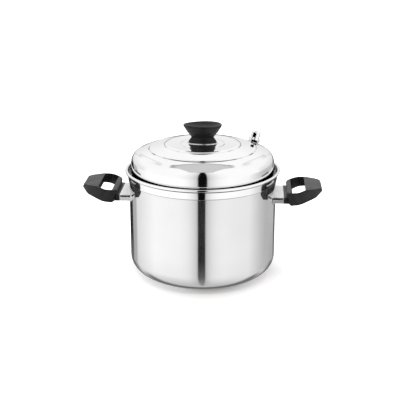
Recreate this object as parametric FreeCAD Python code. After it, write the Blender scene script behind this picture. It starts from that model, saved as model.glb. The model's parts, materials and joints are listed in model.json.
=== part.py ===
import FreeCAD, Part
import math
import os

from FreeCAD import Placement, Rotation, Vector

# Idli steamer: a pot with two loop handles, a vented lid and a stand of cup plates inside.
# Sizes are in millimetres. Z is up, the pot stands on Z = 0 and the handles lie along X.

# Pot
POT_RADIUS = 105.0
POT_SHEET = 0.8
POT_CORNER = 25.0
LEDGE_HEIGHT = 137.4
LEDGE_WIDTH = 1.3
LEDGE_ROUND = 0.6
COLLAR_RISE = 12.6
COLLAR_FLARE = 0.9
BEAD_RADIUS = 2.0
BEAD_CURL_END = -100.0

# Lid
LID_CLEARANCE = 0.5
LID_SHEET = 0.7
LID_FLANGE = 3.4
LID_FOOT_FILLET = 1.0
LID_SKIRT = 34.1
LID_EDGE_RADIUS = 14.0
SHOULDER_WIDTH = 25.9
SHOULDER_OUTER_SLOPE = 23.0
SHOULDER_INNER_SLOPE = 13.0
SHOULDER_ROUND = 48.0
OUTER_PLATEAU = 22.0
OUTER_PLATEAU_SLOPE = 11.0
CENTRE_SLOPE = 2.0
PAD_RADIUS = 30.5
PAD_RISE = 0.6
RING_STEP = 1.6
RING_RUN = 1.4
RING_FILLET = 1.2
CREST_ROUND = 8.0

# Knob on the lid
KNOB_BASE_LENGTH = 40.0
KNOB_BASE_DEPTH = 17.0
KNOB_BASE_HEIGHT = 1.4
KNOB_WAIST_LENGTH = 31.5
KNOB_WAIST_DEPTH = 14.0
KNOB_WAIST_HEIGHT = 7.6
KNOB_TOP_LENGTH = 59.5
KNOB_TOP_DEPTH = 44.0
KNOB_HEIGHT = 26.4
KNOB_BULGE = 1.3
KNOB_BULGE_STEPS = 3
KNOB_WAVE = 3.2
KNOB_TOP_FILLET = 1.6
KNOB_DISH = 4.0
KNOB_DISH_MARGIN = 3.2
TRIM_THICKNESS = 1.2
TRIM_ROUND = 0.9
TRIM_MARGIN = 1.5
INSERT_RADIUS = 4.5
INSERT_LENGTH = 14.0
KNOB_SCREW_RADIUS = 2.5
KNOB_SCREW_HEAD = 4.7
KNOB_SCREW_HEAD_HEIGHT = 2.8
KNOB_WASHER_RADIUS = 6.0
KNOB_WASHER = 1.0

# Steam vent on the lid's shoulder
VENT_INSET = 17.6
VENT_AZIMUTH = 31.0
VENT_BODY_FLATS = 14.6
VENT_BODY = 3.2
VENT_FLANGE_RADIUS = 8.4
VENT_FLANGE = 1.6
VENT_STEM_RADIUS = 4.0
VENT_BORE_RADIUS = 1.6
VENT_STEM_RISE = 7.5
VENT_STEM_DROP = 8.0
VENT_GASKET_RADIUS = 7.0
VENT_GASKET = 1.0
VENT_NUT_FLATS = 13.0
VENT_NUT = 4.0
VENT_CAP_RADIUS = 6.6
VENT_CAP_HEIGHT = 10.7
VENT_CAP_WALL = 1.5
VENT_CAP_ROUND = 2.2
VENT_SLOT_WIDTH = 5.0
VENT_SLOT_HEIGHT = 7.0
VENT_SLOT_RISE = 1.8
VENT_SLOT_TURN = 72.0

# Handles
HANDLE_DROP = 23.9
FERRULE_REACH = 11.0
FERRULE_WIDTH = 62.0
FERRULE_HEIGHT = 9.4
FERRULE_SHEET = 1.0
FERRULE_ROUND = 2.0
FERRULE_SEAM = 2.2
FERRULE_FLANGE = 3.0
GRIP_TILT = 12.0
GRIP_TAPER = 7.0
GRIP_TOP = 10.6
GRIP_BOTTOM = 6.3
GRIP_LENGTH = 56.2
GRIP_WIDTH = 103.0
GRIP_NEAR_WIDTH = 85.0
GRIP_BEND_WIDTH = 80.0
GRIP_BEND = 46.0
GRIP_END_WIDTH = 40.0
GRIP_NECK = 6.0
GRIP_SHOULDER = 22.0
GRIP_DRAFT = 9.0
GRIP_BEND_DRAFT = 13.0
GRIP_END_DRAFT = 2.0
GRIP_NEAR_ROUND = 4.0
GRIP_SIDE_ROUND = 14.0
GRIP_END_ROUND = 9.0
GRIP_EDGE = 2.4
GRIP_EDGE_STEPS = 4
GRIP_CROWN_START = 33.5
GRIP_CROWN = 13.0
WINDOW_START = 13.0
WINDOW_LENGTH = 19.5
WINDOW_WIDTH = 77.0
WINDOW_NEAR_WIDTH = 69.0
WINDOW_FAR_WIDTH = 63.0
WINDOW_DRAFT = 1.0
WINDOW_ROUND = 5.0
WINDOW_EDGE = 1.0
TONGUE_WIDTH = 44.0
TONGUE_THICKNESS = 3.0
TONGUE_DEPTH = 11.0
TONGUE_CLEARANCE = 0.1
HANDLE_SCREW_RADIUS = 2.0
HANDLE_SCREW_HEAD = 3.6
HANDLE_SCREW_HEAD_HEIGHT = 2.2
HANDLE_SCREW_SPACING = 30.0
HANDLE_SCREW_INSET = 8.0
HANDLE_WASHER_RADIUS = 4.2
HANDLE_WASHER = 0.8
HANDLE_LIP = 1.8

# Idli stand
STAND_HEIGHT = 27.8
LEG_THICKNESS = 1.6
LEG_WIDTH = 16.0
LEG_COUNT = 3
LEG_SPLAY = 18.0
LEG_FOOT_LENGTH = 11.0
LEG_FOOT_MARGIN = 8.2
LEG_BEND = 4.0
HUB_RADIUS = 17.0
ROD_RADIUS = 4.0
ROD_COLLAR_RADIUS = 8.0
ROD_COLLAR = 3.0
BASE_NUT_FLATS = 13.0
BASE_NUT = 6.0
PLATE_CLEARANCE = 0.05
FIRST_PLATE_RISE = 12.4
TOP_PLATE_DROP = 9.4
PLATE_COUNT = 4
PLATE_SHEET = 0.8
PLATE_MARGIN = 12.7
CUP_COUNT = 4
CUP_DEPTH = 15.0
CUP_RIM = 3.5
CUP_WEB = 5.0
PLATE_WEB_RADIUS = 32.0
CUP_HOLE_RADIUS = 1.25
CUP_HOLE_COUNT = 8
CUP_HOLE_CIRCLE = 17.0
SPACER_RADIUS = 6.5
NUT_WASHER_RADIUS = 10.0
NUT_WASHER = 1.5
LIFT_NUT_RADIUS = 8.0
LIFT_NUT_HEIGHT = 14.0
LIFT_NUT_ROOF = 2.0
LOOP_RADIUS = 9.0
LOOP_WIRE = 2.2
ROD_TOP_GAP = 0.6

# Clearance of screws, stems and pieces in their holes
BOLT_CLEARANCE = 0.05
HOLE_CLEARANCE = 0.3

Z_AXIS = Vector(0, 0, 1)
ORIGIN = Vector(0, 0, 0)


def flat(a, b):
    return Vector(a, b, 0)


def profile(r, z):
    return Vector(r, 0, z)


def rounded_edges(points, radii, closed, lift):
    """Lines through the points, with an arc at each point that has a radius."""
    count = len(points)
    corners = []
    for i, (x, y) in enumerate(points):
        radius = radii[i]
        if radius == 0:
            corners.append([(x, y)])
            continue
        before = points[i - 1]
        after = points[(i + 1) % count]
        a = math.atan2(before[1] - y, before[0] - x)
        b = math.atan2(after[1] - y, after[0] - x)
        half = abs((b - a + math.pi) % (2 * math.pi) - math.pi) / 2
        run = radius / math.tan(half)
        ux = math.cos(a) + math.cos(b)
        uy = math.sin(a) + math.sin(b)
        sag = (radius / math.sin(half) - radius) / math.hypot(ux, uy)
        start = (x + run * math.cos(a), y + run * math.sin(a))
        middle = (x + sag * ux, y + sag * uy)
        end = (x + run * math.cos(b), y + run * math.sin(b))
        corners.append([start, middle, end])
    edges = []
    for i, corner in enumerate(corners):
        if len(corner) == 3:
            edges.append(Part.Arc(*[lift(*p) for p in corner]).toShape())
        if i + 1 < count or closed:
            following = corners[(i + 1) % count]
            edges.append(Part.makeLine(lift(*corner[-1]), lift(*following[0])))
    return edges


def turned(face):
    return face.revolve(ORIGIN, Z_AXIS, 360)


def arc_about(centre, radius, start, end):
    """Arc in the profile plane about a centre, with angles in degrees."""
    points = []
    for angle in (start, (start + end) / 2, end):
        turn = math.radians(angle)
        points.append(profile(centre[0] + radius * math.cos(turn), centre[1] + radius * math.sin(turn)))
    return Part.Arc(*points).toShape()


def tube(outer, inner, bottom, height):
    body = Part.makeCylinder(outer, height, Vector(0, 0, bottom))
    return body.cut(Part.makeCylinder(inner, height, Vector(0, 0, bottom)))


def hexagon(flats, bottom, height):
    points = []
    for k in range(7):
        turn = math.radians(60 * k)
        reach = flats / math.sqrt(3)
        points.append(Vector(reach * math.cos(turn), reach * math.sin(turn), bottom))
    return Part.Face(Part.makePolygon(points)).extrude(Vector(0, 0, height))


def spun(shape, angle):
    copy = shape.copy()
    copy.rotate(ORIGIN, Z_AXIS, angle)
    return copy


def oval(length, depth, z):
    curve = Part.Ellipse(Vector(0, 0, z), length / 2, depth / 2)
    return Part.Wire([curve.toShape()])


# Pot shell: outer outline, curl of the rim bead, then the inner outline
pot_inside = POT_RADIUS - POT_SHEET
collar_inside = pot_inside + LEDGE_WIDTH
bead_z = LEDGE_HEIGHT + COLLAR_RISE
bead_centre = (collar_inside + COLLAR_FLARE + BEAD_RADIUS, bead_z)
curl_inside = BEAD_RADIUS - POT_SHEET
outer_points = [
    (0, 0),
    (POT_RADIUS, 0),
    (POT_RADIUS, LEDGE_HEIGHT - POT_SHEET),
    (collar_inside + POT_SHEET, LEDGE_HEIGHT - POT_SHEET),
    (bead_centre[0] - curl_inside, bead_z),
]
inner_points = [
    (bead_centre[0] - BEAD_RADIUS, bead_z),
    (collar_inside, LEDGE_HEIGHT),
    (pot_inside, LEDGE_HEIGHT),
    (pot_inside, POT_SHEET),
    (0, POT_SHEET),
]
pot_edges = rounded_edges(outer_points, [0, POT_CORNER, LEDGE_ROUND, LEDGE_ROUND, 0], False, profile)
curl_in = arc_about(bead_centre, curl_inside, 180, BEAD_CURL_END)
curl_out = arc_about(bead_centre, BEAD_RADIUS, 180, BEAD_CURL_END)
curl_lip = Part.makeLine(curl_in.Vertexes[-1].Point, curl_out.Vertexes[-1].Point)
pot_edges += [curl_in, curl_lip, curl_out]
pot_edges += rounded_edges(inner_points, [0, 0, 0, POT_CORNER - POT_SHEET, 0], False, profile)
pot_edges.append(Part.makeLine(profile(0, POT_SHEET), profile(0, 0)))
pot_shell = turned(Part.Face(Part.Wire(Part.__sortEdges__(pot_edges))))

# Lid shell: outer line from the knob's pad out to the foot flange
lid_wall = collar_inside - LID_CLEARANCE - LID_FLANGE
shoulder_z = LEDGE_HEIGHT + LID_SKIRT
vent_radius = lid_wall - VENT_INSET
outer_ring = lid_wall - SHOULDER_WIDTH
middle_ring = outer_ring - OUTER_PLATEAU
ring_half = RING_RUN / 2
shoulder_bend = shoulder_z + VENT_INSET * math.tan(math.radians(SHOULDER_OUTER_SLOPE))
shoulder_inner = vent_radius - outer_ring - ring_half
outer_low = shoulder_bend + shoulder_inner * math.tan(math.radians(SHOULDER_INNER_SLOPE))
outer_high = outer_low + RING_STEP
plateau = OUTER_PLATEAU - RING_RUN
middle_low = outer_high + plateau * math.tan(math.radians(OUTER_PLATEAU_SLOPE))
middle_high = middle_low + RING_STEP
hollow_run = middle_ring - ring_half - PAD_RADIUS - ring_half
pad_low = middle_high - hollow_run * math.tan(math.radians(CENTRE_SLOPE))
pad_z = pad_low + PAD_RISE
lid_points = [
    (0, pad_z),
    (PAD_RADIUS - ring_half, pad_z),
    (PAD_RADIUS + ring_half, pad_low),
    (middle_ring - ring_half, middle_high),
    (middle_ring + ring_half, middle_low),
    (outer_ring - ring_half, outer_high),
    (outer_ring + ring_half, outer_low),
    (vent_radius, shoulder_bend),
    (lid_wall, shoulder_z),
    (lid_wall, LEDGE_HEIGHT + LID_SHEET),
    (lid_wall + LID_FLANGE, LEDGE_HEIGHT + LID_SHEET),
]
lid_radii = [0, RING_FILLET, RING_FILLET, CREST_ROUND] + [RING_FILLET] * 3
lid_radii += [SHOULDER_ROUND, LID_EDGE_RADIUS, LID_FOOT_FILLET, 0]
lid_edges = rounded_edges(lid_points, lid_radii, False, profile)
lid_blank = turned(Part.Wire(lid_edges).makeOffset2D(-LID_SHEET, fill=True, openResult=True))
lid_foot = profile(lid_wall + LID_FLANGE, LEDGE_HEIGHT)
lid_centre = profile(0, LEDGE_HEIGHT)
lid_underside = [
    Part.makeLine(profile(*lid_points[-1]), lid_foot),
    Part.makeLine(lid_foot, lid_centre),
    Part.makeLine(lid_centre, profile(0, pad_z)),
]
lid_filled = turned(Part.Face(Part.Wire(lid_edges + lid_underside)))

# Knob: flared oval body, with a wavy top cut by a twisted face
trim_z = pad_z
knob_z = trim_z + TRIM_THICKNESS
knob_top = knob_z + KNOB_HEIGHT
knob_sections = [
    oval(KNOB_BASE_LENGTH, KNOB_BASE_DEPTH, knob_z),
    oval(KNOB_BASE_LENGTH, KNOB_BASE_DEPTH, knob_z + KNOB_BASE_HEIGHT),
    oval(KNOB_WAIST_LENGTH, KNOB_WAIST_DEPTH, knob_z + KNOB_WAIST_HEIGHT),
]
flare_length = KNOB_TOP_LENGTH - KNOB_WAIST_LENGTH
flare_depth = KNOB_TOP_DEPTH - KNOB_WAIST_DEPTH
flare_rise = KNOB_HEIGHT + KNOB_WAVE - KNOB_WAIST_HEIGHT
for k in range(1, KNOB_BULGE_STEPS + 1):
    share = k / KNOB_BULGE_STEPS
    swell = 8 * KNOB_BULGE * share * (1 - share)
    length = KNOB_WAIST_LENGTH + share * flare_length + swell
    depth = KNOB_WAIST_DEPTH + share * flare_depth + swell
    knob_sections.append(oval(length, depth, knob_z + KNOB_WAIST_HEIGHT + share * flare_rise))
lid_knob = Part.makeLoft(knob_sections, True, True)
wave_x = KNOB_TOP_LENGTH
wave_y = KNOB_TOP_DEPTH
wave_low = knob_top - 2 * KNOB_WAVE
wave_high = knob_top + 2 * KNOB_WAVE
wave_front = Part.makeLine(Vector(-wave_x, -wave_y, wave_high), Vector(wave_x, -wave_y, wave_low))
wave_back = Part.makeLine(Vector(-wave_x, wave_y, wave_low), Vector(wave_x, wave_y, wave_high))
wave_face = Part.makeRuledSurface(wave_front, wave_back)
lid_knob = lid_knob.cut(wave_face.extrude(Vector(0, 0, 4 * KNOB_HEIGHT)))
rim_low = knob_top - KNOB_WAVE
wavy_edges = [e for e in lid_knob.Edges if e.BoundBox.ZLength > KNOB_WAVE / 4]
top_rim = [e for e in wavy_edges if e.BoundBox.ZMin > rim_low]
lid_knob = lid_knob.makeFillet(KNOB_TOP_FILLET, top_rim)
dish_reach = KNOB_TOP_DEPTH / 2 - KNOB_DISH_MARGIN
dish_radius = (dish_reach ** 2 + KNOB_DISH ** 2) / (2 * KNOB_DISH)
dish_stretch = (KNOB_TOP_LENGTH / 2 - KNOB_DISH_MARGIN) / dish_reach
dish_ball = Part.makeSphere(dish_radius)
dish_ball = dish_ball.transformGeometry(FreeCAD.Matrix(dish_stretch, 0, 0, 0, 0, 1, 0, 0, 0, 0, 1, 0))
dish_ball.translate(Vector(0, 0, knob_top + dish_radius - KNOB_DISH))
lid_knob = lid_knob.cut(dish_ball)
insert_bore = Part.makeCylinder(INSERT_RADIUS, INSERT_LENGTH, Vector(0, 0, knob_z))
lid_knob = lid_knob.cut(insert_bore)

# Trim plate, brass insert, screw and washer that hold the knob
screw_hole = KNOB_SCREW_RADIUS + HOLE_CLEARANCE
trim_wire = oval(KNOB_BASE_LENGTH + 2 * TRIM_MARGIN, KNOB_BASE_DEPTH + 2 * TRIM_MARGIN, trim_z)
knob_trim = Part.Face(trim_wire).extrude(Vector(0, 0, TRIM_THICKNESS))
trim_rim = [e for e in knob_trim.Edges if e.BoundBox.ZMin > trim_z + TRIM_THICKNESS / 2]
knob_trim = knob_trim.makeFillet(TRIM_ROUND, trim_rim)
knob_trim = knob_trim.cut(Part.makeCylinder(screw_hole, TRIM_THICKNESS, Vector(0, 0, trim_z)))
insert_body_radius = INSERT_RADIUS - BOLT_CLEARANCE
knob_insert = tube(insert_body_radius, KNOB_SCREW_RADIUS + BOLT_CLEARANCE, knob_z, INSERT_LENGTH)
lid_under = pad_z - LID_SHEET
washer_z = lid_under - KNOB_WASHER
knob_screw_washer = tube(KNOB_WASHER_RADIUS, screw_hole, washer_z, KNOB_WASHER)
head_z = washer_z - KNOB_SCREW_HEAD_HEIGHT
knob_screw_end = knob_z + INSERT_LENGTH - LID_SHEET
knob_screw = Part.makeCylinder(KNOB_SCREW_HEAD, KNOB_SCREW_HEAD_HEIGHT, Vector(0, 0, head_z))
knob_screw = knob_screw.makeFillet(KNOB_SCREW_HEAD_HEIGHT / 3, [knob_screw.Edges[2]])
shank = Part.makeCylinder(KNOB_SCREW_RADIUS, knob_screw_end - washer_z, Vector(0, 0, washer_z))
knob_screw = knob_screw.fuse(shank)
lid_shell = lid_blank.cut(Part.makeCylinder(screw_hole, KNOB_HEIGHT, Vector(0, 0, lid_under - LID_SHEET)))

# Steam vent, built upright at the origin and set square on the shoulder
vent_turn = math.radians(VENT_AZIMUTH)
tilt_angle = (SHOULDER_OUTER_SLOPE + SHOULDER_INNER_SLOPE) / 2
tilt = math.radians(tilt_angle)
bend_half = math.radians(SHOULDER_OUTER_SLOPE - SHOULDER_INNER_SLOPE) / 2
vent_sag = SHOULDER_ROUND / math.cos(bend_half) - SHOULDER_ROUND
seat_radius = vent_radius - vent_sag * math.sin(tilt)
seat_z = shoulder_bend - vent_sag * math.cos(tilt)
vent_seat = Vector(seat_radius * math.cos(vent_turn), seat_radius * math.sin(vent_turn), seat_z)
out = math.sin(tilt)
vent_axis = Vector(out * math.cos(vent_turn), out * math.sin(vent_turn), math.cos(tilt))
vent_place = Placement(vent_seat, Rotation(Z_AXIS, vent_axis))


def on_vent(shape):
    copy = shape.copy()
    copy.Placement = vent_place.multiply(copy.Placement)
    return copy


flange_z = VENT_GASKET + VENT_BODY
cap_z = flange_z + VENT_FLANGE
vent_hole = VENT_STEM_RADIUS + HOLE_CLEARANCE
gasket_hole = VENT_STEM_RADIUS + BOLT_CLEARANCE
vent_drill = Part.makeCylinder(vent_hole, 4 * VENT_GASKET, Vector(0, 0, -2 * VENT_GASKET))
lid_shell = lid_shell.cut(on_vent(vent_drill))
outer_gasket = on_vent(tube(VENT_GASKET_RADIUS, gasket_hole, -LID_SHEET, VENT_GASKET + LID_SHEET))
outer_gasket = outer_gasket.cut(lid_filled)
inner_drop = LID_SHEET + VENT_GASKET
inner_gasket = on_vent(tube(VENT_GASKET_RADIUS, gasket_hole, -inner_drop, inner_drop))
inner_gasket = inner_gasket.common(lid_filled).cut(lid_blank)
vent_gaskets = Part.makeCompound([outer_gasket, inner_gasket])
stem_length = VENT_STEM_DROP + cap_z + VENT_STEM_RISE
stem = Part.makeCylinder(VENT_STEM_RADIUS, stem_length, Vector(0, 0, -VENT_STEM_DROP))
flange = Part.makeCylinder(VENT_FLANGE_RADIUS, VENT_FLANGE, Vector(0, 0, flange_z))
flange = flange.makeFillet(VENT_FLANGE / 3, [flange.Edges[0]])
bore = Part.makeCylinder(VENT_BORE_RADIUS, stem_length, Vector(0, 0, -VENT_STEM_DROP))
vent_body = hexagon(VENT_BODY_FLATS, VENT_GASKET, VENT_BODY)
vent_nozzle = on_vent(stem.fuse([flange, vent_body]).cut(bore))
vent_nut = hexagon(VENT_NUT_FLATS, -inner_drop - VENT_NUT, VENT_NUT)
nut_bore = Part.makeCylinder(gasket_hole, VENT_NUT, Vector(0, 0, -inner_drop - VENT_NUT))
vent_nut = on_vent(vent_nut.cut(nut_bore))
cap = Part.makeCylinder(VENT_CAP_RADIUS, VENT_CAP_HEIGHT, Vector(0, 0, cap_z))
cap = cap.makeFillet(VENT_CAP_ROUND, [cap.Edges[0]])
cap_room = VENT_CAP_RADIUS - VENT_CAP_WALL
cap = cap.cut(Part.makeCylinder(cap_room, VENT_CAP_HEIGHT - VENT_CAP_WALL, Vector(0, 0, cap_z)))
steam_corner = Vector(-VENT_CAP_RADIUS, -VENT_SLOT_WIDTH / 2, cap_z + VENT_SLOT_RISE)
steam_slot = Part.makeBox(2 * VENT_CAP_RADIUS, VENT_SLOT_WIDTH, VENT_SLOT_HEIGHT, steam_corner)
vent_cap = on_vent(cap.cut(spun(steam_slot, VENT_SLOT_TURN)))

# Right handle: ferrule sleeve, welded tongue, grip, screws and washers
grip_x = POT_RADIUS + FERRULE_REACH
handle_z = LEDGE_HEIGHT - HANDLE_DROP
pot_wall = Part.makeCylinder(POT_RADIUS, LEDGE_HEIGHT)


def bar(width, height, start, end, round_radius):
    """Bar along X about the handle's centre line, with rounded long edges."""
    corner = Vector(start, -width / 2, handle_z - height / 2)
    body = Part.makeBox(end - start, width, height, corner)
    if round_radius == 0:
        return body
    long_edges = [e for e in body.Edges if e.BoundBox.XLength > (end - start) / 2]
    return body.makeFillet(round_radius, long_edges)


sleeve_start = POT_RADIUS / 2
sleeve = bar(FERRULE_WIDTH, FERRULE_HEIGHT, sleeve_start, grip_x, FERRULE_ROUND)
hollow_width = FERRULE_WIDTH - 2 * FERRULE_SHEET
hollow_height = FERRULE_HEIGHT - 2 * FERRULE_SHEET
hollow_round = FERRULE_ROUND - FERRULE_SHEET
hollow = bar(hollow_width, hollow_height, sleeve_start, grip_x - FERRULE_SHEET, hollow_round)
flange_room = bar(FERRULE_WIDTH + 2 * FERRULE_FLANGE, FERRULE_HEIGHT, sleeve_start, grip_x, FERRULE_ROUND)
wall_skin = Part.makeCylinder(POT_RADIUS + FERRULE_SHEET, LEDGE_HEIGHT)
seam_start = math.sqrt((POT_RADIUS + FERRULE_SHEET) ** 2 - (FERRULE_WIDTH / 2) ** 2)
seam_z = handle_z + FERRULE_HEIGHT / 2 - FERRULE_SHEET - FERRULE_SEAM
seam_length = grip_x - FERRULE_SHEET - seam_start
seam = Part.makeBox(seam_length, FERRULE_WIDTH, FERRULE_SEAM, Vector(seam_start, -FERRULE_WIDTH / 2, seam_z))
ferrule = sleeve.fuse(wall_skin.common(flange_room)).cut([hollow, pot_wall, seam])
slot_width = TONGUE_WIDTH + 2 * TONGUE_CLEARANCE
slot_height = TONGUE_THICKNESS + TONGUE_CLEARANCE
tongue_z = handle_z - TONGUE_THICKNESS / 2
tongue_end = grip_x + TONGUE_DEPTH
slot_corner = Vector(sleeve_start, -slot_width / 2, tongue_z)
slot = Part.makeBox(tongue_end + TONGUE_CLEARANCE - sleeve_start, slot_width, slot_height, slot_corner)
tongue_corner = Vector(sleeve_start, -TONGUE_WIDTH / 2, tongue_z)
tongue = Part.makeBox(tongue_end - sleeve_start, TONGUE_WIDTH, TONGUE_THICKNESS, tongue_corner)
tongue = tongue.cut(pot_wall)
ferrule = ferrule.cut(slot)


def inset(points, depth):
    """Points of a clockwise outline, with each side moved square to itself by a depth."""
    count = len(points)
    moved = []
    for i, (x, y) in enumerate(points):
        before = points[i - 1]
        after = points[(i + 1) % count]
        a = math.atan2(y - before[1], x - before[0])
        b = math.atan2(after[1] - y, after[0] - x)
        share = depth / (1 + math.cos(a - b))
        moved.append((x + share * (math.sin(a) + math.sin(b)), y - share * (math.cos(a) + math.cos(b))))
    return moved


def outline(half, radii, depth, height, turn):
    """Closed outline across the grip, inset by a depth, lifted and turned about the neck."""
    points = inset(half + [(s, -t) for s, t in reversed(half)], depth)
    rounds = [r - depth if r > 0 else 0 for r in radii + radii[::-1]]
    wire = Part.Wire(rounded_edges(points, rounds, True, flat))
    wire.rotate(Vector(GRIP_NECK, 0, 0), Vector(0, 1, 0), -turn)
    wire.translate(Vector(0, 0, height))
    return wire


def soft_edged(low_half, high_half, radii, edge):
    """Solid between two outlines, with its top and bottom edges rounded in, or out if edge is negative."""
    turns = [math.pi / 2 * k / GRIP_EDGE_STEPS for k in range(GRIP_EDGE_STEPS + 1)]
    sections = []
    for turn in turns:
        rise = abs(edge) * (1 - math.cos(turn))
        depth = edge * (1 - math.sin(turn))
        sections.append(outline(low_half, radii, depth, rise - GRIP_BOTTOM, GRIP_TAPER))
    for turn in turns:
        drop = abs(edge) * (1 - math.sin(turn))
        depth = edge * (1 - math.cos(turn))
        sections.append(outline(high_half, radii, depth, GRIP_TOP - drop, 0))
    return Part.makeLoft(sections, True, True)


half_width = GRIP_WIDTH / 2
half_near = GRIP_NEAR_WIDTH / 2
half_bend = GRIP_BEND_WIDTH / 2
half_end = GRIP_END_WIDTH / 2
half_neck = FERRULE_WIDTH / 2 + FERRULE_ROUND
grip_low = [
    (GRIP_NECK, half_neck),
    (GRIP_NECK + FERRULE_ROUND, half_near),
    (GRIP_SHOULDER, half_width),
    (GRIP_BEND, half_bend),
    (GRIP_LENGTH, half_end),
]
grip_high = [
    (GRIP_NECK, half_neck - GRIP_DRAFT / 2),
    (GRIP_NECK + FERRULE_ROUND, half_near - GRIP_DRAFT),
    (GRIP_SHOULDER, half_width - GRIP_DRAFT),
    (GRIP_BEND, half_bend - GRIP_BEND_DRAFT),
    (GRIP_LENGTH - GRIP_END_DRAFT, half_end),
]
grip_radii = [0, GRIP_NEAR_ROUND, GRIP_SIDE_ROUND, GRIP_SIDE_ROUND, GRIP_END_ROUND]
window_high = [
    (WINDOW_START, WINDOW_NEAR_WIDTH / 2),
    (WINDOW_START + WINDOW_LENGTH / 2, WINDOW_WIDTH / 2),
    (WINDOW_START + WINDOW_LENGTH, WINDOW_FAR_WIDTH / 2),
]
window_low = [(s, t - WINDOW_DRAFT) for s, t in window_high]
loop = soft_edged(grip_low, grip_high, grip_radii, GRIP_EDGE)
crown = Part.makeBox(2 * GRIP_LENGTH, 2 * GRIP_WIDTH, 2 * GRIP_TOP, Vector(0, -GRIP_WIDTH, 0))
crown.rotate(ORIGIN, Vector(0, 1, 0), GRIP_CROWN)
crown.translate(Vector(GRIP_CROWN_START, 0, GRIP_TOP))
loop = loop.cut(crown)
loop = loop.cut(soft_edged(window_low, window_high, [WINDOW_ROUND] * 3, -WINDOW_EDGE))
loop.rotate(ORIGIN, Vector(0, 1, 0), -GRIP_TILT)
loop.translate(Vector(grip_x, 0, handle_z))
block = bar(FERRULE_WIDTH, FERRULE_HEIGHT, grip_x, grip_x + GRIP_NECK + FERRULE_ROUND, FERRULE_ROUND)
grip = loop.fuse(block).removeSplitter().cut(slot)

# Screws come up through the grip's lower lip into the tongue
screw_x = grip_x + HANDLE_SCREW_INSET
lip_z = tongue_z - HANDLE_LIP
handle_washer_z = lip_z - HANDLE_WASHER
handle_head_z = handle_washer_z - HANDLE_SCREW_HEAD_HEIGHT
handle_screw_hole = HANDLE_SCREW_RADIUS + HOLE_CLEARANCE
washer_seat = HANDLE_WASHER_RADIUS + HOLE_CLEARANCE
screws = []
washers = []
for side in (-1, 1):
    foot = Vector(screw_x, side * HANDLE_SCREW_SPACING / 2, 0)
    grip = grip.cut(Part.makeCylinder(handle_screw_hole, tongue_z, foot))
    grip = grip.cut(Part.makeCylinder(washer_seat, lip_z, foot))
    thread = Part.makeCylinder(HANDLE_SCREW_RADIUS + BOLT_CLEARANCE, 2 * tongue_z, foot)
    tongue = tongue.cut(thread)
    washer = tube(HANDLE_WASHER_RADIUS, handle_screw_hole, handle_washer_z, HANDLE_WASHER)
    washer.translate(foot)
    washers.append(washer)
    head = Part.makeCylinder(HANDLE_SCREW_HEAD, HANDLE_SCREW_HEAD_HEIGHT, Vector(0, 0, handle_head_z))
    head = head.makeFillet(HANDLE_SCREW_HEAD_HEIGHT / 3, [head.Edges[2]])
    shank_length = tongue_z + TONGUE_THICKNESS - handle_washer_z
    shank = Part.makeCylinder(HANDLE_SCREW_RADIUS, shank_length, Vector(0, 0, handle_washer_z))
    screw = head.fuse(shank)
    screw.translate(foot)
    screws.append(screw)
handle_screws = Part.makeCompound(screws + [spun(s, 180) for s in screws])
handle_screw_washers = Part.makeCompound(washers + [spun(w, 180) for w in washers])

# Stand base: a hub with bent strip legs that stand on the pot's floor
floor_z = POT_SHEET
hub_top = floor_z + STAND_HEIGHT
foot_end = pot_inside - POT_CORNER - LEG_FOOT_MARGIN
foot_start = foot_end - LEG_FOOT_LENGTH
leg_points = [
    (0, hub_top),
    (foot_start - LEG_SPLAY, hub_top),
    (foot_start, floor_z + LEG_THICKNESS),
    (foot_end, floor_z + LEG_THICKNESS),
]
leg_line = Part.Wire(rounded_edges(leg_points, [0, LEG_BEND, LEG_BEND, 0], False, profile))
leg_strip = leg_line.makeOffset2D(-LEG_THICKNESS, fill=True, openResult=True)
leg = leg_strip.extrude(Vector(0, LEG_WIDTH, 0))
leg.translate(Vector(0, -LEG_WIDTH / 2, 0))
hub_z = hub_top - LEG_THICKNESS
hub = Part.makeCylinder(HUB_RADIUS, LEG_THICKNESS, Vector(0, 0, hub_z))
legs = [spun(leg, 360 / LEG_COUNT * k) for k in range(LEG_COUNT)]
rod_hole = ROD_RADIUS + BOLT_CLEARANCE
stand_base = hub.fuse(legs).removeSplitter().cut(Part.makeCylinder(rod_hole, hub_top + LEG_THICKNESS))

# Levels of the plates on the rod
collar_top = hub_top + ROD_COLLAR
first_plate = collar_top + FIRST_PLATE_RISE
plate_pitch = (LEDGE_HEIGHT - TOP_PLATE_DROP - first_plate) / (PLATE_COUNT - 1)
levels = [first_plate + plate_pitch * k for k in range(PLATE_COUNT)]
nut_washer_z = levels[-1] + PLATE_SHEET
lift_nut_z = nut_washer_z + NUT_WASHER
rod_end = lift_nut_z + LIFT_NUT_HEIGHT - LIFT_NUT_ROOF - ROD_TOP_GAP
base_nut_z = hub_z - BASE_NUT
rod_start = base_nut_z - ROD_RADIUS / 2
stand_rod = Part.makeCylinder(ROD_RADIUS, rod_end - rod_start, Vector(0, 0, rod_start))
stand_rod = stand_rod.fuse(Part.makeCylinder(ROD_COLLAR_RADIUS, ROD_COLLAR, Vector(0, 0, hub_top)))
base_nut = hexagon(BASE_NUT_FLATS, base_nut_z, BASE_NUT)
base_nut = base_nut.cut(Part.makeCylinder(rod_hole, BASE_NUT, Vector(0, 0, base_nut_z)))
spacers = []
spacer_start = collar_top
for level in levels:
    spacers.append(tube(SPACER_RADIUS, rod_hole, spacer_start, level - spacer_start))
    spacer_start = level + PLATE_SHEET

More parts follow.
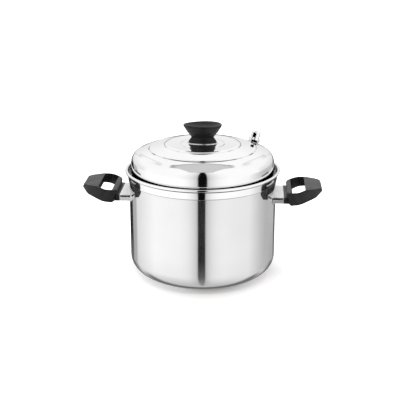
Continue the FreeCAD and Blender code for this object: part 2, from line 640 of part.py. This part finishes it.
# Idli plate: a four-lobed sheet with round cups pressed into it, at level 0
cup_share = math.sin(math.pi / CUP_COUNT)
cup_pitch = (pot_inside - PLATE_MARGIN - CUP_RIM + CUP_WEB / 2) / (1 + cup_share)
cup_mouth = cup_pitch * cup_share - CUP_WEB / 2
cup_inside = (cup_mouth ** 2 + CUP_DEPTH ** 2) / (2 * CUP_DEPTH)
cup_centre_z = PLATE_SHEET + cup_inside - CUP_DEPTH
sheet = Part.makeCylinder(PLATE_WEB_RADIUS, PLATE_SHEET)
below = Part.makeBox(4 * POT_RADIUS, 4 * POT_RADIUS, 2 * CUP_DEPTH)
below.translate(Vector(-2 * POT_RADIUS, -2 * POT_RADIUS, PLATE_SHEET - 2 * CUP_DEPTH))
lobes = []
cavities = []
for k in range(CUP_COUNT):
    turn = 2 * math.pi * k / CUP_COUNT
    place = Vector(cup_pitch * math.cos(turn), cup_pitch * math.sin(turn), 0)
    lobes.append(Part.makeCylinder(cup_mouth + CUP_RIM, PLATE_SHEET, place))
    ball = place + Vector(0, 0, cup_centre_z)
    lobes.append(Part.makeSphere(cup_inside + PLATE_SHEET, ball).common(below))
    cavities.append(Part.makeSphere(cup_inside, ball))
    drill = place - Vector(0, 0, 2 * CUP_DEPTH)
    cavities.append(Part.makeCylinder(CUP_HOLE_RADIUS, 2 * CUP_DEPTH, drill))
    for h in range(CUP_HOLE_COUNT):
        around = 2 * math.pi * h / CUP_HOLE_COUNT
        shift = Vector(CUP_HOLE_CIRCLE * math.cos(around), CUP_HOLE_CIRCLE * math.sin(around), 0)
        cavities.append(Part.makeCylinder(CUP_HOLE_RADIUS, 2 * CUP_DEPTH, drill + shift))
plate = sheet.fuse(lobes).cut(cavities)
plate_hole = ROD_RADIUS + PLATE_CLEARANCE
plate = plate.cut(Part.makeCylinder(plate_hole, 2 * CUP_DEPTH, Vector(0, 0, -CUP_DEPTH)))
plates = []
for k, level in enumerate(levels):
    turned_plate = spun(plate, 180 / CUP_COUNT * (k % 2))
    turned_plate.translate(Vector(0, 0, level))
    plates.append(turned_plate)

# Captive washer and looped nut that hold the plates down and lift the stack
nut_washer = tube(NUT_WASHER_RADIUS, rod_hole, nut_washer_z, NUT_WASHER)
lift_nut = Part.makeCylinder(LIFT_NUT_RADIUS, LIFT_NUT_HEIGHT, Vector(0, 0, lift_nut_z))
loop_z = lift_nut_z + LIFT_NUT_HEIGHT + LOOP_RADIUS - LOOP_WIRE
lift_loop = Part.makeTorus(LOOP_RADIUS, LOOP_WIRE, Vector(0, 0, loop_z), Vector(0, 1, 0))
lift_nut = lift_nut.fuse(lift_loop)
nut_thread = Part.makeCylinder(rod_hole, LIFT_NUT_HEIGHT - LIFT_NUT_ROOF, Vector(0, 0, lift_nut_z))
lift_nut = lift_nut.cut(nut_thread)

pieces = {
    "pot_shell": pot_shell,
    "handle_ferrule_right": ferrule,
    "handle_ferrule_left": spun(ferrule, 180),
    "handle_bracket_right": tongue,
    "handle_bracket_left": spun(tongue, 180),
    "handle_grip_right": grip,
    "handle_grip_left": spun(grip, 180),
    "handle_screws": handle_screws,
    "handle_screw_washers": handle_screw_washers,
    "lid_shell": lid_shell,
    "lid_knob": lid_knob,
    "knob_trim": knob_trim,
    "knob_insert": knob_insert,
    "knob_screw": knob_screw,
    "knob_screw_washer": knob_screw_washer,
    "vent_nozzle": vent_nozzle,
    "vent_gaskets": vent_gaskets,
    "vent_nut": vent_nut,
    "vent_cap": vent_cap,
    "stand_base": stand_base,
    "stand_rod": stand_rod,
    "base_nut": base_nut,
    "nut_washer": nut_washer,
    "lift_nut": lift_nut,
}
for k in range(PLATE_COUNT):
    pieces["spacer_%d" % (k + 1)] = spacers[k]
    pieces["idli_plate_%d" % (k + 1)] = plates[k]

os.makedirs("parts", exist_ok=True)
for name, shape in pieces.items():
    shape.exportStep("parts/%s.step" % name)
    print(name, shape.isValid(), len(shape.Solids), round(shape.Volume, 1))
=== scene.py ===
"""Looks of an idli steamer: mirror-polished steel and matte bakelite in a plain, pale studio."""

import json
import math

import bpy
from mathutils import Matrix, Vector


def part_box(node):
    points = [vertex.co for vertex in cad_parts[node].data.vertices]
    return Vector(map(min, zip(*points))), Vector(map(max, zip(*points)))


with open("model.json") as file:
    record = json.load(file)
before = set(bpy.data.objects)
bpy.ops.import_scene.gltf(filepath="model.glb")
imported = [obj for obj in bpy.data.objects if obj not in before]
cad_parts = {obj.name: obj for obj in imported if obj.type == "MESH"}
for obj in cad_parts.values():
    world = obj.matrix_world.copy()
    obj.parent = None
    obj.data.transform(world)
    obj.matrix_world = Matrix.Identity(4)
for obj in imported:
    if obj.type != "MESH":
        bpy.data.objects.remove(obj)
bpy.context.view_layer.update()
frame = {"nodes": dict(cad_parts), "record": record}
scene = bpy.context.scene
scene.view_settings.view_transform = "Standard"

# Camera, at the photograph's place; all lengths are in metres, apart from its lens and sensor
CAMERA_AZIMUTH = math.radians(3.5)
CAMERA_ELEVATION = math.radians(18.24)
CAMERA_DISTANCE = 1.3
CAMERA_AIM = Vector((0, 0, 0.1018))
CAMERA_LENS = 80.82
CAMERA_SENSOR = 36.0
CAMERA_SHIFT = (-0.0065, 0.00125)

# Height at which the pot's body ends and its polished collar starts, and half the height of the change
RIM_STEP = 0.1366
STEP_BLEND = 0.0005

# Haze on the pot's body, and how much less it mirrors for each part of haze
BODY_HAZE = 0.05
BODY_DIM = 2.8

# Painted shade lines in the corners of the lid's ring steps, broken by noise but for the front: radii, half
# width and least height
LID_RINGS = (0.0764, 0.0544, 0.0312)
RING_LINE = 0.0011
LID_TOP = 0.17
RING_NOISE = 55.0
RING_BREAKS = (0.45, 0.68)
RING_STRENGTHS = (0.12, 0.75)
RING_FRONT = (-0.055, -0.07)
RING_FRONT_STRENGTH = 0.85

# Painted shade lines under the pot's rim bead and over its step: (height, half width, strength), and least
# radius
RIM_SHADE_LINES = ((0.1478, 0.0014, 0.95), (0.1371, 0.0009, 0.5))
RIM_INSIDE = 0.1055
RIM_FRONT = (-0.06, -0.1)
RIM_BACK_STRENGTH = 0.25

# Painted shade and dark reflection on the inner face of the pot's collar: least radius, middle of its sheet
# at the step, flare, top and sides
COLLAR_RADIUS = 0.1052
COLLAR_MIDDLE = 0.1059
COLLAR_FLARE = 0.0714
COLLAR_TOP = 0.1502
COLLAR_SIDES = (0.06, 0.095)
COLLAR_STRENGTH = 0.9

# Room inside a handle's sleeve, which the steel paints black as shade, bounded in the middle of its sheet,
# and the haze on the sleeve's outside
SLEEVE_RADIUS = 0.1046
SLEEVE_END = 0.1155
SLEEVE_HALF_WIDTH = 0.0305
SLEEVE_HEIGHT = 0.1135
SLEEVE_HALF_HEIGHT = 0.0042
SLEEVE_SHEET = 0.001
SLEEVE_HAZE = 0.6

# Width of the knob's rim round its dish, the dish's depth with some to spare, its blend and its sheen
KNOB_RIM = 0.0028
KNOB_DISH = 0.0065
DISH_BLEND = (1.03, 0.97)
DULL_SHEEN = 0.08
SHEEN = 0.5

# Haze on the plate under the knob, and the height over its middle from which its edge gets a painted
# reflection of the dark knob
TRIM_HAZE = 0.7
TRIM_REFLECTION_HEIGHT = 0.0002
TRIM_STRENGTH = 0.85
TRIM_ROOM = Vector((0.0002, 0.0002, -0.0001))

# Room inside the vent's cap, which the steel paints black as shade, bounded in the middle of its wall
CAP_ROOM_RADIUS = 0.0058
CAP_ROOM_HALF_HEIGHT = 0.0046

# Noise: limits between which clouds, steel gloss and grain change, tone of the clouds, and grains across one
CLOUD_LIMITS = (0.3, 0.7)
GLOSS_LIMITS = (0.6, 1.4)
GRAIN_LIMITS = (0.35, 0.65)
CLOUD_TONE = 0.965
CLOUD_GRAINS = 30

# Floor: its shades, an oval round the pot with a painted shadow in it, and (distance, glow) stops for its
# glow to the camera, weaker near the pot so that the shadow shows
FLOOR_SIZE = 12
FLOOR_NOISE = 3.0
FLOOR_SHADES = ((0.9, 0.885, 0.875), (0.92, 0.905, 0.895))
OVAL_SCALE = (2.7, 2.0, 2.0)
OVAL_SHIFT = (-0.027, 0, 0)
PAINTED_SHADOW_RANGE = (0.165, 0.205)
PAINTED_SHADOW_LIGHT = 0.5
GLOW_STOPS = ((0.17, 0.12), (0.19, 0.2), (0.25, 0.42), (0.33, 0.7), (0.5, 0.95))

# Pale ring of floor close to the pot, which mirrors see
PALE_RING = (0.24, 0.11)
PALE_SHARE = 0.22
PALE_LIGHT = 0.75

# Light levels, and the overhead panel's size, place and aim
SKY_LEVEL = 0.3
KEY_LEVEL = 15.0
KEY_SIZE = (1.3, 1.0)
KEY_PLACE = Vector((0.0, 0.12, 1.25))
KEY_AIM = Vector((0, 0, 0.1))

# Studio in mirrors: bearings are parts of half a turn from the front, heights are parts of a right angle
STUDIO_TURN = math.radians(1.9)
HORIZON = (-0.1, 0.02)

# Gap between the two front panels, with (bearing, brightness) stops, and what changes it with height
SLIT_STOPS = ((0.0, 0.004), (0.029, 0.004), (0.034, 0.45), (0.044, 0.62), (0.062, 0.73), (0.097, 0.87),
              (0.133, 0.95), (0.19, 1.0))
SLIT_UPPER = (-0.204, -0.196)
SLIT_UPPER_SHIFT = 0.0088
SLIT_UPPER_SPREAD = 0.22
SLIT_END = (0.84, 0.95)
SLIT_FADE = (-1.0, -0.3)
SLIT_FADE_LIGHT = 0.3

# Table, with (bearing, brightness) stops from the back over the left, the front and the right to the back
TABLE_STOPS = ((0.0, 0.005), (0.103, 0.005), (0.111, 0.5), (0.145, 0.51), (0.16, 0.93), (0.28, 1.26),
               (0.5, 1.17), (0.62, 1.13), (0.72, 1.06), (0.79, 0.7), (0.83, 0.57), (0.915, 0.57),
               (0.93, 0.14), (1.0, 0.1))
TABLE_STEEP = (-0.3, -0.5)
TABLE_STEEP_LIGHT = 1.1
TABLE_FADE = (-1.0, -0.3)
TABLE_FADE_LIGHT = 0.55

# Dark places behind the pot and at its foot, as (depth, height) limits
UNDER = ((-0.5, -0.8), (-0.21, -0.3))
FOOT = ((-0.05, -0.4), (-0.35, -0.55))

# White panels, and the backdrop low at the back with (height, brightness) stops
PANEL_LIGHT = 1.1
BACK_DEPTH = (-0.1, -0.35)
BACKDROP_STOPS = ((0.0, 0.86), (0.12, 0.9), (0.3, 1.06), (1.0, 1.1))

# Grey patch high at the back, which rises to its tips and has a darker lower rim
PATCH_SHIFT = 0.02
PATCH_SLOPE = 0.7
PATCH_RISE = 0.12
PATCH_LOW = (0.447, 0.461)
PATCH_MIDDLE = (0.225, 0.2)
PATCH_TIP_SLOPE = 0.45
PATCH_TIP = (0.525, 0.495)
PATCH_DEPTH = (0.28, 0.22)
PATCH_SHADE = 0.38
PATCH_RIM = (0.5, 0.468)
PATCH_RIM_SHADE = 0.24

# Faint upright shade at each side of the back
SIDE_INNER = (0.295, 0.305)
SIDE_OUTER = (0.345, 0.315)
SIDE_HEIGHT = (0.6, 0.56)
SIDE_DEPTH = (-0.3, -0.5)
SIDE_SHADE = 0.2

# Places of the knob, the plate under it and the vent's cap
knob_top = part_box("lid_knob")[1]
trim_low, trim_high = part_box("knob_trim")
trim_centre = (trim_low + trim_high) / 2
trim_reach = trim_high - trim_centre + TRIM_ROOM
cap_low, cap_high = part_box("vent_cap")
cap_centre = (cap_low + cap_high) / 2
cap_axis = next(j["axis"] for j in frame["record"]["behaviour"]["joints"] if j["name"] == "cap_lift")


def add(tree, kind, inputs=None, **settings):
    """A new node with its settings, and its inputs set to values or linked to other nodes."""
    node = tree.nodes.new(kind)
    for name, value in settings.items():
        setattr(node, name, value)
    for name, value in (inputs or {}).items():
        if hasattr(value, "outputs"):
            tree.links.new(value.outputs[0], node.inputs[name])
        elif isinstance(value, bpy.types.NodeSocket):
            tree.links.new(value, node.inputs[name])
        else:
            node.inputs[name].default_value = value
    return node


def math_node(tree, operation, *values):
    """A node that works out a number."""
    return add(tree, "ShaderNodeMath", dict(enumerate(values)), operation=operation)


def product(tree, first, *others):
    """Numbers multiplied together."""
    for other in others:
        first = math_node(tree, "MULTIPLY", first, other)
    return first


def lowered(tree, level, share, amount):
    """A level less an amount, for a share of it."""
    return math_node(tree, "MULTIPLY_ADD", share, -amount, level)


def vector_node(tree, operation, *values):
    """A node that works out a vector."""
    return add(tree, "ShaderNodeVectorMath", dict(enumerate(values)), operation=operation)


def length_of(tree, vector):
    """A vector's length."""
    return vector_node(tree, "LENGTH", vector).outputs["Value"]


def scaled(tree, vector, factor):
    """A vector or colour times a number."""
    return add(tree, "ShaderNodeVectorMath", {0: vector, "Scale": factor}, operation="SCALE")


def axes(tree, vector):
    """X, Y and Z of a vector."""
    parts = add(tree, "ShaderNodeSeparateXYZ", {"Vector": vector})
    return [parts.outputs[axis] for axis in "XYZ"]


def radius_of(tree, x, y):
    """Distance from the Z axis."""
    return length_of(tree, add(tree, "ShaderNodeCombineXYZ", {"X": x, "Y": y}))


def ramp(tree, factor, stops):
    """Grey or coloured ramp from (place, value) stops."""
    node = add(tree, "ShaderNodeValToRGB", {"Fac": factor})
    elements = node.color_ramp.elements
    for i, (place, value) in enumerate(stops):
        element = elements[i] if i < 2 else elements.new(place)
        element.position = place
        colour = value if isinstance(value, tuple) else (value, value, value)
        element.color = (*colour, 1)
    return node


def span(tree, value, limits, start=0.0, end=1.0):
    """A value mapped smoothly and held between its limits."""
    inputs = {"Value": value, "From Min": limits[0], "From Max": limits[1], "To Min": start, "To Max": end}
    return add(tree, "ShaderNodeMapRange", inputs, interpolation_type="SMOOTHSTEP")


def within(tree, value, limit):
    """1 where a value is nearer to zero than a limit."""
    return math_node(tree, "LESS_THAN", math_node(tree, "ABSOLUTE", value), limit)


def mix(tree, share, first, second):
    """A number between two others."""
    return add(tree, "ShaderNodeMix", {0: share, 2: first, 3: second}, data_type="FLOAT")


def mix_shaders(tree, share, first, second):
    """A surface between two others."""
    return add(tree, "ShaderNodeMixShader", {0: share, 1: first, 2: second})


def noise(tree, place, scale, detail):
    """Soft noise at a scale."""
    return add(tree, "ShaderNodeTexNoise", {"Vector": place, "Scale": scale, "Detail": detail})


def mirror_rays(tree, ray):
    """1 for what a mirror sees."""
    return math_node(tree, "MAXIMUM", ray.outputs["Is Glossy Ray"], ray.outputs["Is Transmission Ray"])


def blank(name):
    """A material with an empty node tree and its output."""
    material = bpy.data.materials.new(name)
    material.use_nodes = True
    tree = material.node_tree
    tree.nodes.clear()
    return material, tree, tree.nodes.new("ShaderNodeOutputMaterial")


def turned_rings(tree, place, stretch):
    """Coordinates in which noise is drawn out into turned rings about Z."""
    x, y, z = axes(tree, place)
    turn = product(tree, math_node(tree, "ARCTAN2", y, x), stretch)
    return add(tree, "ShaderNodeCombineXYZ", {"X": radius_of(tree, x, y), "Y": turn, "Z": z})


def ring_step_painted_shade(tree, place):
    """Painted shade in the corners of the lid's ring steps, as a share of light taken off the colour, uneven
    along each ring.
    """
    x, y, z = axes(tree, place)
    radius = radius_of(tree, x, y)
    lines = 0.0
    for ring in LID_RINGS:
        off = math_node(tree, "ABSOLUTE", math_node(tree, "SUBTRACT", radius, ring))
        lines = math_node(tree, "MAXIMUM", lines, span(tree, off, (RING_LINE, RING_LINE / 3)))
    strength = span(tree, noise(tree, place, RING_NOISE, detail=1.0), RING_BREAKS, *RING_STRENGTHS)
    strength = math_node(tree, "MAXIMUM", strength, span(tree, y, RING_FRONT, 0.0, RING_FRONT_STRENGTH))
    return product(tree, lines, math_node(tree, "GREATER_THAN", z, LID_TOP), strength)


def rim_painted_shade(tree, place):
    """Painted shade under the pot's rim bead and over its step, most of all at the front."""
    x, y, z = axes(tree, place)
    lines = 0.0
    for height, half_width, strength in RIM_SHADE_LINES:
        off = math_node(tree, "ABSOLUTE", math_node(tree, "SUBTRACT", z, height))
        line = span(tree, off, (half_width, half_width / 2), 0.0, strength)
        lines = math_node(tree, "MAXIMUM", lines, line)
    outside = math_node(tree, "GREATER_THAN", radius_of(tree, x, y), RIM_INSIDE)
    return product(tree, lines, outside, span(tree, y, RIM_FRONT, RIM_BACK_STRENGTH, 1.0))


def collar_painted_shade(tree, place):
    """Painted shade and dark reflection on the collar's inner face, at the two sides where the lid stands
    close to it.
    """
    x, y, z = axes(tree, place)
    radius = radius_of(tree, x, y)
    rise = math_node(tree, "SUBTRACT", z, RIM_STEP)
    middle = math_node(tree, "MULTIPLY_ADD", rise, COLLAR_FLARE, COLLAR_MIDDLE)
    outside = math_node(tree, "GREATER_THAN", radius, COLLAR_RADIUS)
    inside = math_node(tree, "LESS_THAN", radius, middle)
    above = math_node(tree, "GREATER_THAN", rise, 0.0)
    below = math_node(tree, "LESS_THAN", z, COLLAR_TOP)
    sides = span(tree, math_node(tree, "ABSOLUTE", x), COLLAR_SIDES, 0.0, COLLAR_STRENGTH)
    return product(tree, outside, inside, above, below, sides)


def sleeve_room(tree, place, grow=0.0):
    """1 inside the handles' sleeves, or in all of them if the room is grown past their sheet; the room
    inside is painted black as shade.
    """
    x, y, z = axes(tree, place)
    outside = math_node(tree, "GREATER_THAN", radius_of(tree, x, y), SLEEVE_RADIUS + grow)
    length = within(tree, x, SLEEVE_END + grow)
    width = within(tree, y, SLEEVE_HALF_WIDTH + grow)
    height = within(tree, math_node(tree, "SUBTRACT", z, SLEEVE_HEIGHT), SLEEVE_HALF_HEIGHT + grow)
    return product(tree, outside, length, width, height)


def cap_room(tree, place):
    """1 inside the vent's cap, which is painted black as shade."""
    offset = vector_node(tree, "SUBTRACT", place, cap_centre)
    along = vector_node(tree, "DOT_PRODUCT", offset, cap_axis).outputs["Value"]
    away = length_of(tree, vector_node(tree, "CROSS_PRODUCT", offset, cap_axis))
    return product(tree, math_node(tree, "LESS_THAN", away, CAP_ROOM_RADIUS),
                   within(tree, along, CAP_ROOM_HALF_HEIGHT))


def trim_plate(tree, place):
    """1 in the plate under the knob, and 1 in its upper edge."""
    x, y, z = axes(tree, vector_node(tree, "SUBTRACT", place, trim_centre))
    plate = product(tree, *(within(tree, part, reach) for part, reach in zip((x, y, z), trim_reach)))
    return plate, product(tree, plate, math_node(tree, "GREATER_THAN", z, TRIM_REFLECTION_HEIGHT))


def trim_painted_reflection(tree, place):
    """Painted reflection of the dark knob along the upper edge of the plate under the knob, as a share of
    light taken off the colour.
    """
    return product(tree, trim_plate(tree, place)[1], TRIM_STRENGTH)


def haze_share(tree, place, body):
    """Share of matte steel on the pot's body, the sleeves' outsides and the plate under the knob."""
    sleeve = math_node(tree, "SUBTRACT", sleeve_room(tree, place, SLEEVE_SHEET), sleeve_room(tree, place))
    trim = math_node(tree, "SUBTRACT", *trim_plate(tree, place))
    share = math_node(tree, "MULTIPLY_ADD", sleeve, SLEEVE_HAZE, body)
    return math_node(tree, "MULTIPLY_ADD", trim, TRIM_HAZE, share)


def steel(name, tint, roughness, ring_scale, ring_depth, stretch, cloud_scale, haze=0.0, dark=()):
    """Turned steel: faint rings in the surface, soft clouds in tone and gloss, haze, and painted shade in
    the given places.
    """
    material, tree, output = blank(name)
    place = add(tree, "ShaderNodeTexCoord").outputs["Object"]
    lines = noise(tree, turned_rings(tree, place, stretch), ring_scale, detail=4.0)
    clouds = noise(tree, place, cloud_scale, detail=3.0)
    darker = tuple(channel * CLOUD_TONE for channel in tint)
    colour = ramp(tree, clouds, zip(CLOUD_LIMITS, (darker, tint)))
    gloss = span(tree, math_node(tree, "ADD", lines, clouds), GLOSS_LIMITS, *roughness)
    bump = add(tree, "ShaderNodeBump", {"Height": lines, "Strength": 1.0, "Distance": ring_depth})
    body = span(tree, axes(tree, place)[2], (RIM_STEP + STEP_BLEND, RIM_STEP - STEP_BLEND), 0.0, haze)
    light = lowered(tree, 1.0, body, BODY_DIM)
    # Painted shade: each mask takes its share of light off the colour
    for mask in dark:
        light = product(tree, light, math_node(tree, "SUBTRACT", 1.0, mask(tree, place)))
    surface = add(tree, "ShaderNodeBsdfPrincipled", {
        "Base Color": scaled(tree, colour, light), "Metallic": 1.0, "Roughness": gloss, "Normal": bump})
    if haze:
        matte = add(tree, "ShaderNodeBsdfDiffuse", {"Color": colour})
        surface = mix_shaders(tree, haze_share(tree, place, body), surface, matte)
    tree.links.new(surface.outputs[0], output.inputs["Surface"])
    return material


def knob_dish(tree, place):
    """1 in the dish of the knob's top, which has a duller grain."""
    inside = (1 / (knob_top.x - KNOB_RIM), 1 / (knob_top.y - KNOB_RIM), 0.0)
    oval = length_of(tree, vector_node(tree, "MULTIPLY", place, inside))
    top = math_node(tree, "GREATER_THAN", axes(tree, place)[2], knob_top.z - KNOB_DISH)
    return product(tree, top, span(tree, oval, DISH_BLEND))


def moulded(name, shades, roughness, grain_scale, grain_depth, ior, dull=None):
    """Moulded plastic or rubber with a fine, even grain, and less gloss where it is dull."""
    material, tree, output = blank(name)
    place = add(tree, "ShaderNodeTexCoord").outputs["Object"]
    grain = noise(tree, place, grain_scale, detail=3.0)
    clouds = noise(tree, place, grain_scale / CLOUD_GRAINS, detail=2.0)
    mottle = product(tree, math_node(tree, "ADD", grain, clouds), 0.5)
    colour = ramp(tree, mottle, zip(GRAIN_LIMITS, shades))
    gloss = span(tree, clouds, CLOUD_LIMITS, *roughness)
    bump = add(tree, "ShaderNodeBump", {"Height": grain, "Strength": 1.0, "Distance": grain_depth})
    surface = add(tree, "ShaderNodeBsdfPrincipled", {
        "Base Color": colour, "Roughness": gloss, "IOR": ior, "Normal": bump})
    if dull:
        sheen = lowered(tree, SHEEN, dull(tree, place), SHEEN - DULL_SHEEN)
        tree.links.new(sheen.outputs[0], surface.inputs["Specular IOR Level"])
    tree.links.new(surface.outputs[0], output.inputs["Surface"])
    return material


def floor_material():
    """Floor, white to the camera, darker where the pot keeps light off it, with a painted shadow close to
    the pot where its glow is also weaker.
    """
    material, tree, output = blank("pale_floor")
    ray = add(tree, "ShaderNodeLightPath")
    place = add(tree, "ShaderNodeTexCoord").outputs["Object"]
    oval = length_of(tree, vector_node(tree, "MULTIPLY_ADD", place, OVAL_SCALE, OVAL_SHIFT))
    clouds = noise(tree, place, FLOOR_NOISE, detail=2.0)
    colour = ramp(tree, clouds, zip(CLOUD_LIMITS, FLOOR_SHADES))
    # Painted contact shadow: the floor's colour is darker in the oval close to the pot
    colour = scaled(tree, colour, span(tree, oval, PAINTED_SHADOW_RANGE, PAINTED_SHADOW_LIGHT, 1.0))
    surface = add(tree, "ShaderNodeBsdfDiffuse", {"Color": colour})
    # Painted shadow falloff: the glow to the camera is weaker close to the pot
    glow = product(tree, ramp(tree, oval, GLOW_STOPS), ray.outputs["Is Camera Ray"])
    glow = add(tree, "ShaderNodeEmission", {"Strength": glow})
    lit = add(tree, "ShaderNodeAddShader", {0: surface, 1: glow})

    # Mirrors look through the floor to the world below, but for a pale ring close to the pot
    clear = add(tree, "ShaderNodeBsdfTransparent")
    pale = add(tree, "ShaderNodeEmission", {"Strength": PALE_LIGHT})
    near = span(tree, length_of(tree, place), PALE_RING, 0.0, PALE_SHARE)
    seen = mix_shaders(tree, near, clear, pale)
    surface = mix_shaders(tree, mirror_rays(tree, ray), lit, seen)
    tree.links.new(surface.outputs[0], output.inputs["Surface"])
    return material


def front_gap(tree, bearing, height):
    """Dark gap between the front panels, wider above the table, which ends overhead and fades low down."""
    upper = span(tree, height, SLIT_UPPER)
    aside = lowered(tree, bearing, upper, SLIT_UPPER_SHIFT)
    aside = product(tree, aside, lowered(tree, 1.0, upper, SLIT_UPPER_SPREAD))
    slit = ramp(tree, math_node(tree, "ABSOLUTE", aside), SLIT_STOPS)
    slit = math_node(tree, "MAXIMUM", slit, span(tree, height, SLIT_END))
    return math_node(tree, "MAXIMUM", slit, span(tree, height, SLIT_FADE, SLIT_FADE_LIGHT, 0.0))


def lower_half(tree, bearing, toward, height):
    """White table on the left, greyer on the right, dark behind the pot and at its foot."""
    table = ramp(tree, math_node(tree, "MULTIPLY_ADD", bearing, 0.5, 0.5), TABLE_STOPS)
    table = mix(tree, span(tree, height, TABLE_STEEP), table, TABLE_STEEP_LIGHT)
    table = product(tree, table, span(tree, height, TABLE_FADE, TABLE_FADE_LIGHT, 1.0))
    dark = 0.0
    for depths, heights in (UNDER, FOOT):
        place = product(tree, span(tree, toward, depths), span(tree, height, heights))
        dark = math_node(tree, "MAXIMUM", dark, place)
    return product(tree, table, math_node(tree, "SUBTRACT", 1.0, dark))


def upper_half(tree, x, toward, height):
    """White panels, a greyer backdrop and a grey patch at the back, and a faint shade at its sides."""
    backdrop = ramp(tree, height, BACKDROP_STOPS)
    panels = mix(tree, span(tree, toward, BACK_DEPTH), PANEL_LIGHT, backdrop)
    across = math_node(tree, "ABSOLUTE", math_node(tree, "ADD", x, PATCH_SHIFT))
    rise = math_node(tree, "MINIMUM", product(tree, across, PATCH_SLOPE), PATCH_RISE)
    over = math_node(tree, "SUBTRACT", height, rise)
    tip = math_node(tree, "MULTIPLY_ADD", height, PATCH_TIP_SLOPE, across)
    wide = math_node(tree, "MAXIMUM", span(tree, across, PATCH_MIDDLE), span(tree, tip, PATCH_TIP))
    patch = product(tree, span(tree, over, PATCH_LOW), wide, span(tree, toward, PATCH_DEPTH))
    rim = product(tree, patch, span(tree, over, PATCH_RIM))
    side = product(tree, span(tree, across, SIDE_INNER), span(tree, across, SIDE_OUTER),
                   span(tree, height, SIDE_HEIGHT), span(tree, toward, SIDE_DEPTH))
    light = 1.0
    for share, amount in ((patch, PATCH_SHADE), (rim, PATCH_RIM_SHADE), (side, SIDE_SHADE)):
        light = lowered(tree, light, share, amount)
    return product(tree, panels, light)


def studio_world():
    """White to the camera, plain light on the object, and soft white panels with gaps for mirrors."""
    world = bpy.data.worlds.new("studio")
    world.use_nodes = True
    tree = world.node_tree
    tree.nodes.clear()
    output = tree.nodes.new("ShaderNodeOutputWorld")
    ray = add(tree, "ShaderNodeLightPath")
    way = add(tree, "ShaderNodeTexCoord").outputs["Generated"]
    way = add(tree, "ShaderNodeVectorRotate", {"Vector": way, "Angle": -STUDIO_TURN}, rotation_type="Z_AXIS")
    x, y, z = axes(tree, way)
    toward = product(tree, y, -1.0)
    bearing = math_node(tree, "DIVIDE", math_node(tree, "ARCTAN2", x, toward), math.pi)
    height = math_node(tree, "DIVIDE", math_node(tree, "ARCSINE", z), math.pi / 2)
    table = lower_half(tree, bearing, toward, height)
    panels = upper_half(tree, x, toward, height)
    studio = mix(tree, span(tree, height, HORIZON), table, panels)
    studio = product(tree, studio, front_gap(tree, bearing, height))
    level = mix(tree, mirror_rays(tree, ray), SKY_LEVEL, studio)
    level = mix(tree, ray.outputs["Is Camera Ray"], level, 1.0)
    background = add(tree, "ShaderNodeBackground", {"Color": (1, 1, 1, 1), "Strength": level})
    tree.links.new(background.outputs[0], output.inputs["Surface"])
    return world


# Materials, by the record's slots
looks = {
    "polished_steel": steel(
        "polished_steel", tint=(0.9, 0.9, 0.905), roughness=(0.03, 0.07), ring_scale=900, ring_depth=4e-7,
        stretch=0.004, cloud_scale=18, haze=BODY_HAZE,
        # Painted shade at the ring steps, rim bead and collar, a painted reflection of the knob on its
        # plate, and black sleeve and cap hollows
        dark=(ring_step_painted_shade, rim_painted_shade, collar_painted_shade, trim_painted_reflection, sleeve_room, cap_room)),
    "satin_steel": steel(
        "satin_steel", tint=(0.66, 0.66, 0.655), roughness=(0.2, 0.32), ring_scale=1400, ring_depth=6e-6,
        stretch=0.01, cloud_scale=30),
    "brass": steel(
        "brass", tint=(0.74, 0.56, 0.27), roughness=(0.18, 0.3), ring_scale=2500, ring_depth=6e-6,
        stretch=0.002, cloud_scale=60),
    "bakelite": moulded(
        "bakelite", shades=((0.014, 0.014, 0.015), (0.022, 0.022, 0.023)), roughness=(0.3, 0.4),
        grain_scale=1600, grain_depth=2e-5, ior=1.3, dull=knob_dish),
    "silicone": moulded(
        "silicone", shades=((0.6, 0.6, 0.58), (0.68, 0.68, 0.66)), roughness=(0.4, 0.5),
        grain_scale=900, grain_depth=2e-5, ior=1.4),
}
for part in frame["record"]["subparts"]:
    piece = frame["nodes"][part["node"]]
    piece.data.materials.clear()
    piece.data.materials.append(looks[part["material_slot"]])

# Floor and world
bpy.ops.mesh.primitive_plane_add(size=FLOOR_SIZE)
floor = bpy.context.object
floor.name = "floor"
floor.data.materials.append(floor_material())
scene.world = studio_world()

# Key light: one large soft panel overhead
lamp = bpy.data.lights.new("overhead_panel", "AREA")
lamp.shape = "RECTANGLE"
lamp.size, lamp.size_y = KEY_SIZE
lamp.energy = KEY_LEVEL
key = bpy.data.objects.new("overhead_panel", lamp)
key.location = KEY_PLACE
key.rotation_euler = (KEY_AIM - KEY_PLACE).to_track_quat("-Z", "Y").to_euler()
key.visible_glossy = False
scene.collection.objects.link(key)

# Camera
lens = bpy.data.cameras.new("camera")
lens.lens = CAMERA_LENS
lens.sensor_width = CAMERA_SENSOR
lens.shift_x, lens.shift_y = CAMERA_SHIFT
camera = bpy.data.objects.new("camera", lens)
out = Vector((
    math.sin(CAMERA_AZIMUTH) * math.cos(CAMERA_ELEVATION),
    -math.cos(CAMERA_AZIMUTH) * math.cos(CAMERA_ELEVATION),
    math.sin(CAMERA_ELEVATION),
))
camera.location = CAMERA_AIM + out * CAMERA_DISTANCE
camera.rotation_euler = (-out).to_track_quat("-Z", "Y").to_euler()
scene.collection.objects.link(camera)
scene.camera = camera
